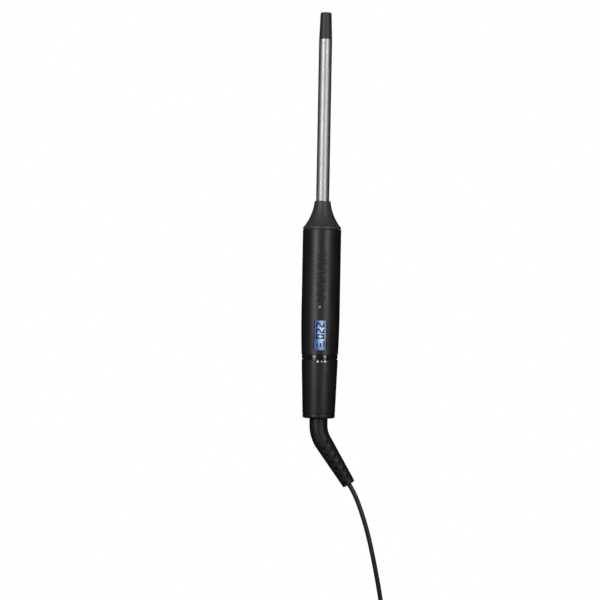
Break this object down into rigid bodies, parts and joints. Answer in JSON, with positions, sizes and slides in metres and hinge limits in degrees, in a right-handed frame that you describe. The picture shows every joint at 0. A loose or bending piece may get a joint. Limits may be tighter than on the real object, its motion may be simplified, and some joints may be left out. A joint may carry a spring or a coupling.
{
  "type": "curling wand",
  "caption": "Slim clampless curling wand with a satin barrel, a twist control grip, a lit display window and a swivel cord tied in a hank.",
  "frame": {"origin": "on the tool's axis in the middle of the gripped handle, 110 mm above the bottom of the handle", "axes": "+Z along the barrel towards the cool tip, -Y the side with the display, +X the side the cord bends to"},
  "size_m": [0.0888, 0.0312, 0.6184],
  "materials": {
    "soft_touch_black": "soft-touch satin black",
    "tip_black": "fine-textured heat-resistant black",
    "barrel_coat": "satin ceramic-coated grey metal",
    "gloss_black": "polished black",
    "window_clear": "clear moulded window",
    "lcd_blue": "blue lit display",
    "light_guide": "white light guide",
    "inner_black": "moulded black nylon",
    "holder_cream": "heat-resistant cream resin",
    "board_green": "solder-masked laminate",
    "component_black": "moulded component body",
    "component_blue": "sleeved capacitor",
    "heater_white": "fired alumina",
    "spreader_metal": "extruded aluminium",
    "lead_sleeve": "silicone-insulated wire",
    "screw_steel": "zinc-plated steel",
    "spring_steel": "spring wire",
    "contact_brass": "bare brass",
    "boot_rubber": "satin black elastomer",
    "cord_black": "satin black cable sheath",
    "tie_black": "woven strap",
    "plug_black": "fine-textured moulded plug",
    "pin_nickel": "nickel-plated brass"
  },
  "bodies": {
    "handle": {"cool_tip": "tip_black", "tip_insulator": "heater_white", "barrel_tube": "barrel_coat", "heater_plate": "heater_white", "heater_spreader_front": "spreader_metal", "heater_spreader_rear": "spreader_metal", "temperature_sensor": "lead_sleeve", "heater_leads": "lead_sleeve", "barrel_holder": "holder_cream", "holder_screws": "screw_steel", "collar": "soft_touch_black", "front_shell": "soft_touch_black", "rear_shell": "soft_touch_black", "shell_screws": "screw_steel", "display_window": "window_clear", "lcd_glass": "lcd_blue", "lcd_backlight": "light_guide", "lcd_frame": "inner_black", "indicator_pipe": "light_guide", "indicator_lamp": "holder_cream", "control_board": "board_green", "controller_chip": "component_black", "power_triac": "component_black", "capacitors": "component_blue", "thermal_fuse": "screw_steel", "trim_ring": "gloss_black", "spine": "inner_black", "contact_board": "board_green", "centring_spring": "spring_steel", "tail_cap": "soft_touch_black", "swivel_socket": "inner_black", "brush_contacts": "contact_brass", "swivel_leads": "lead_sleeve"},
    "twist_control": {"twist_sleeve": "soft_touch_black", "twist_carrier": "inner_black", "contact_wipers": "contact_brass"},
    "cord_swivel": {"swivel_hub": "inner_black", "slip_rings": "contact_brass", "cord_boot": "boot_rubber", "cord": "cord_black", "cord_hank": "cord_black", "hank_tie": "tie_black", "plug_lead": "cord_black", "plug_body": "plug_black", "plug_pins": "pin_nickel", "plug_pin_sleeves": "plug_black"}
  },
  "joints": [
    {"name": "grip_twist", "type": "hinge", "parent": "handle", "child": "twist_control", "pos_m": [0, 0, -0.086], "axis": [0, 0, 1], "range_deg": [-15, 15], "stiffness_Nm_per_rad": 0.12, "deforming": ["centring_spring"]},
    {"name": "cord_swivel_turn", "type": "hinge", "parent": "handle", "child": "cord_swivel", "pos_m": [0, 0, -0.1066], "axis": [0, 0, 1], "continuous": true}
  ]
}
